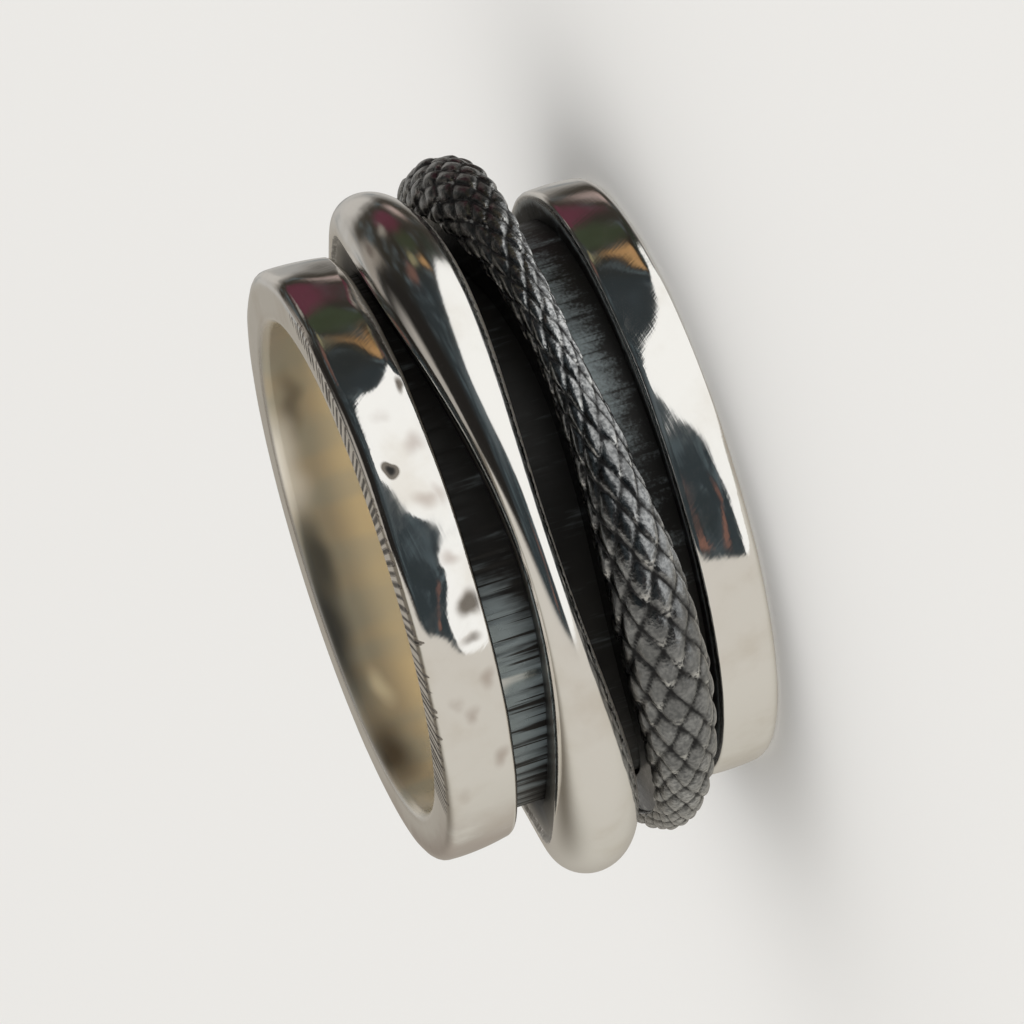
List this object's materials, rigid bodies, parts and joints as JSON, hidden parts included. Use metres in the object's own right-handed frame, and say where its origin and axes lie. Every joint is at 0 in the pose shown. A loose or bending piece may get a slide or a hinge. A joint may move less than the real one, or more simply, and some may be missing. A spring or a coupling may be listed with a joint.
{
  "type": "spinner ring",
  "caption": "Wide channelled silver finger ring carrying two undulating loose rings, one smooth and one scaled, that spin freely in its channel.",
  "frame": {"origin": "on the finger hole's axis, in the plane of the polished rim's face that the ring rests on", "axes": "+Z along the finger hole's axis, from the polished rim to the hammered rim; +X towards the side where the two loose rings lean up"},
  "size_m": [0.0262, 0.026, 0.0124],
  "materials": {
    "band_silver": "polished silver rims, one of them hammered, with a blackened channel between them",
    "polished_silver": "mirror-polished silver",
    "oxidised_silver": "blackened silver with worn bright scale tops"
  },
  "bodies": {
    "band": {"band": "band_silver"},
    "smooth_ring": {"smooth_spinner": "polished_silver"},
    "scaled_ring": {"scaled_spinner": "oxidised_silver"}
  },
  "joints": [
    {"name": "smooth_spin", "type": "hinge", "parent": "band", "child": "smooth_ring", "pos_m": [0, 0, 0.00772], "axis": [-0.0471, 0, 0.9989], "continuous": true},
    {"name": "scaled_spin", "type": "hinge", "parent": "band", "child": "scaled_ring", "pos_m": [0, 0, 0.0045], "axis": [-0.0471, 0, 0.9989], "continuous": true}
  ]
}
